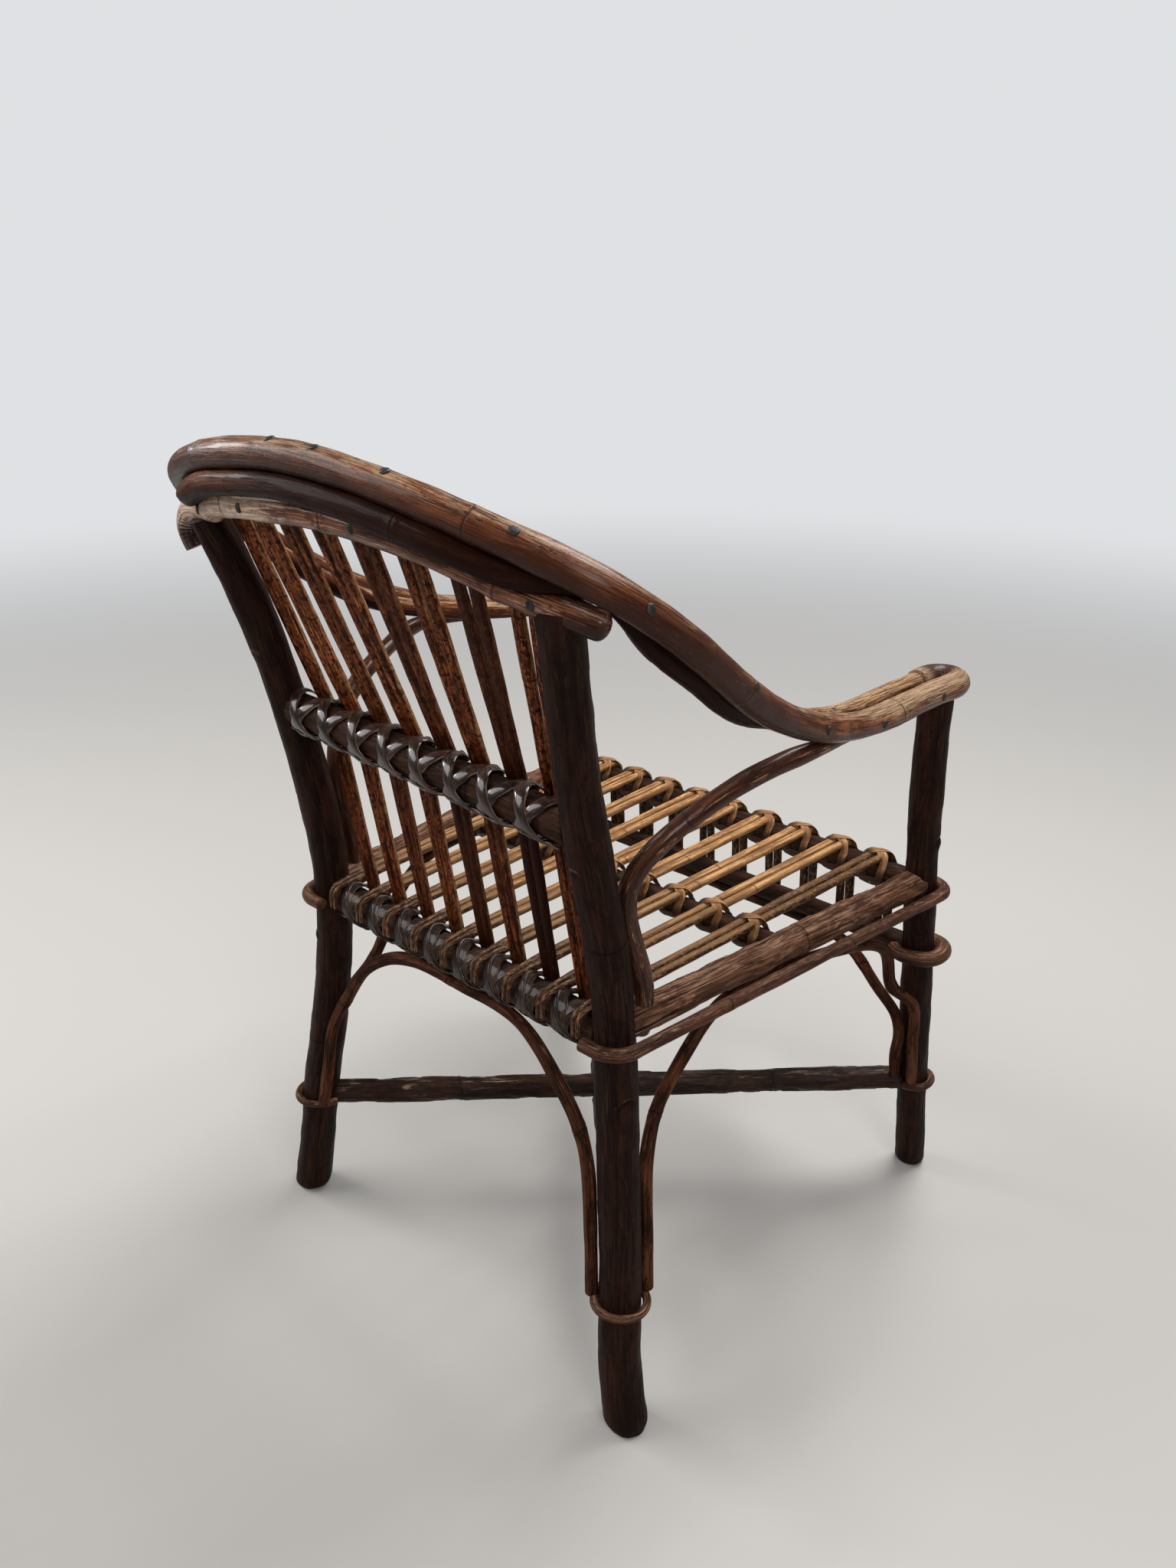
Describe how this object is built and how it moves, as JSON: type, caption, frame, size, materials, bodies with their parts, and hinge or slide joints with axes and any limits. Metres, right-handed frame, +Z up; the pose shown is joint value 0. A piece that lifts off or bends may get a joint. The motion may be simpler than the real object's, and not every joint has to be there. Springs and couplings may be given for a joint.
{
  "type": "child's rattan armchair",
  "caption": "Low child's armchair of bent rattan canes with a slatted seat and back, looped arms, arched leg braces and crossed stretchers.",
  "frame": {"origin": "on the floor under the middle of the chair's overall box", "axes": "+Z up, -Y towards the front of the seat, +X towards the sitter's left"},
  "size_m": [0.3607, 0.4091, 0.5505],
  "materials": {
    "post_cane": "dark stained, worn satin",
    "hoop_cane": "brown, glossy varnish",
    "crest_cane": "pale worn brown, varnish",
    "brace_cane": "brown, speckled",
    "rail_cane": "dark stained",
    "side_rail_cane": "greyish brown, grained",
    "arch_cane": "dark reddish brown, rough",
    "tie_cane": "reddish brown",
    "stretcher_cane": "dark, flaking varnish",
    "back_slat": "reddish brown, dark specks",
    "seat_slat": "golden tan, brown specks",
    "dark_peel": "near black, high gloss",
    "pale_peel": "light tan, gloss",
    "nail": "dark grey, dull"
  },
  "bodies": {
    "root": {"apron_rail": "rail_cane", "arm_brace_left": "brace_cane", "arm_brace_right": "brace_cane", "back_arch": "arch_cane", "back_post_left": "post_cane", "back_post_right": "post_cane", "back_slat_pair_1": "back_slat", "back_slat_pair_2": "back_slat", "back_slat_pair_3": "back_slat", "back_slat_pair_4": "back_slat", "back_slat_pair_5": "back_slat", "back_slat_pair_6": "back_slat", "back_slat_pair_7": "back_slat", "back_slat_pair_8": "back_slat", "crest_nails": "nail", "crest_rail": "crest_cane", "front_arch": "arch_cane", "front_post_left": "post_cane", "front_post_right": "post_cane", "front_ring_left": "tie_cane", "front_ring_right": "tie_cane", "hoop_nails": "nail", "inner_hoop": "hoop_cane", "leg_tie_back_left": "tie_cane", "leg_tie_back_right": "tie_cane", "leg_tie_front_left": "tie_cane", "leg_tie_front_right": "tie_cane", "lumbar_lashing": "dark_peel", "lumbar_rail": "rail_cane", "outer_hoop": "hoop_cane", "seat_back_lashing": "dark_peel", "seat_back_rail": "rail_cane", "seat_binding_left": "tie_cane", "seat_binding_right": "tie_cane", "seat_front_lashing": "pale_peel", "seat_front_rail": "rail_cane", "seat_middle_lashing": "pale_peel", "seat_middle_rail": "rail_cane", "seat_slat_pair_1": "seat_slat", "seat_slat_pair_2": "seat_slat", "seat_slat_pair_3": "seat_slat", "seat_slat_pair_4": "seat_slat", "seat_slat_pair_5": "seat_slat", "seat_slat_pair_6": "seat_slat", "seat_slat_pair_7": "seat_slat", "seat_slat_pair_8": "seat_slat", "seat_slat_pair_9": "seat_slat", "side_arch_left": "arch_cane", "side_arch_right": "arch_cane", "side_rail_left": "side_rail_cane", "side_rail_right": "side_rail_cane", "stretcher_lower": "stretcher_cane", "stretcher_upper": "stretcher_cane"}
  },
  "joints": []
}
